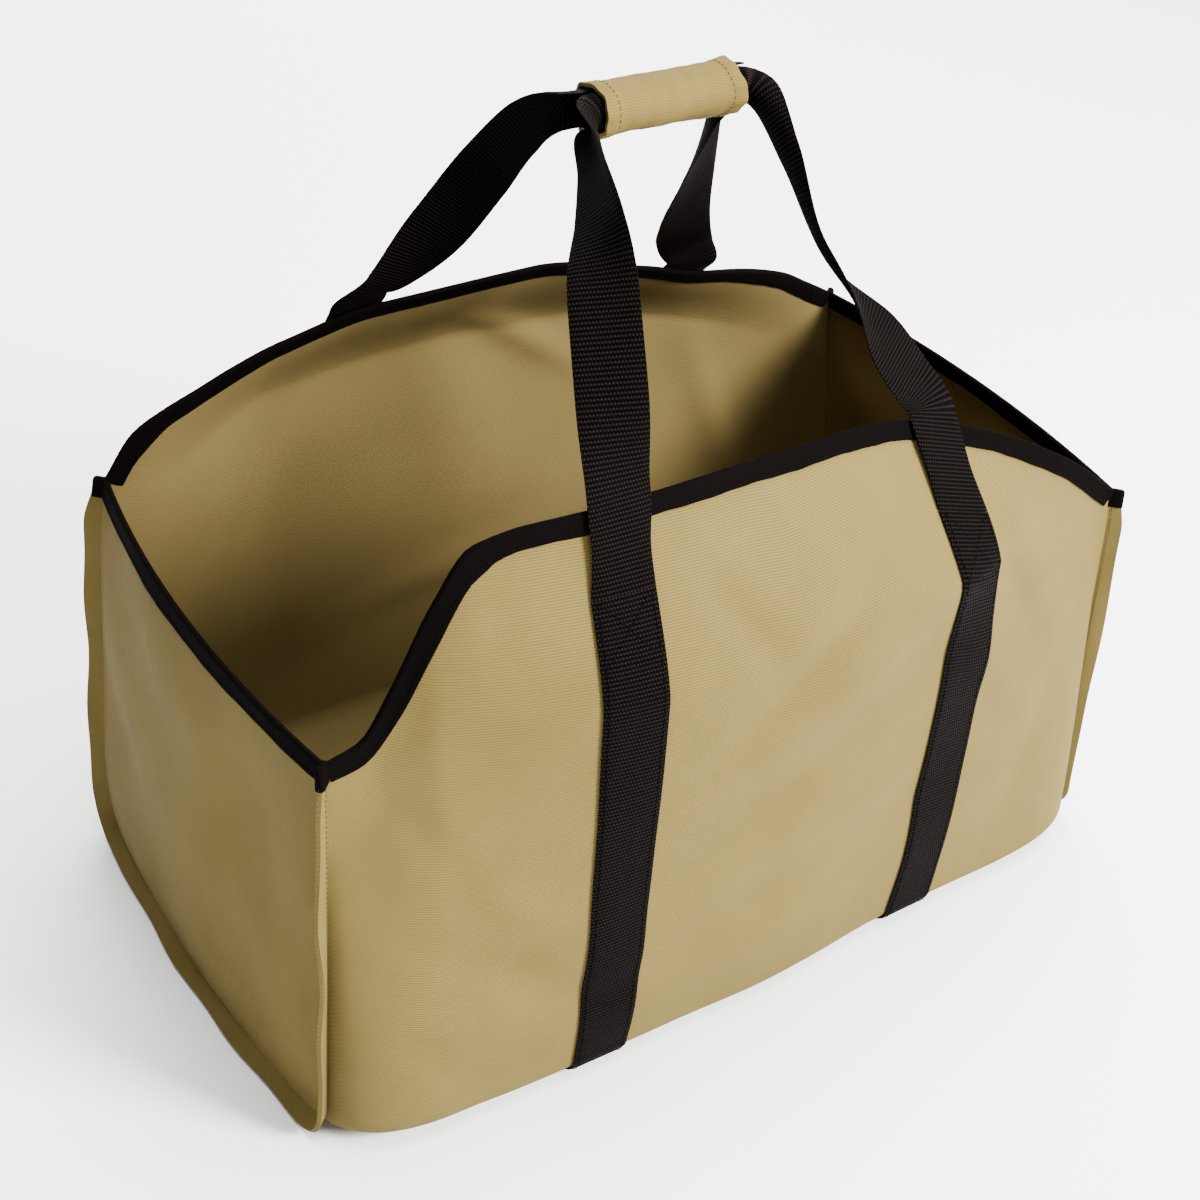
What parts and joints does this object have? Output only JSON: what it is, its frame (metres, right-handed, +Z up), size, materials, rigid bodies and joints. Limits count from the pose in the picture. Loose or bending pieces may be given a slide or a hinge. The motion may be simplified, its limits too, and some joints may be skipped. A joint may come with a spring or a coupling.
{
  "type": "firewood bag",
  "caption": "Open firewood bag of stiff canvas with low ends, taped rims, webbing straps under the bag and handles joined by a wrapped grip.",
  "frame": {"origin": "centre of the bag's footprint, at the level of the straps' undersides that it stands on", "axes": "+X along the bag's length, towards the right end panel; -Y towards the front wall; +Z up"},
  "size_m": [0.6309, 0.4096, 0.556],
  "materials": {
    "canvas": "matte",
    "tape": "matte",
    "webbing": "satin",
    "grip": "matte"
  },
  "bodies": {
    "root": {"main_panel": "canvas", "end_panel_left": "canvas", "end_panel_right": "canvas", "binding_left": "tape", "binding_right": "tape", "binding_front": "tape", "binding_back": "tape", "binding_tab_front_left": "tape", "binding_tab_front_right": "tape", "binding_tab_back_left": "tape", "binding_tab_back_right": "tape", "strap_left": "webbing", "strap_right": "webbing", "handle_front": "webbing", "handle_back": "webbing", "handle_grip": "grip"}
  },
  "joints": []
}
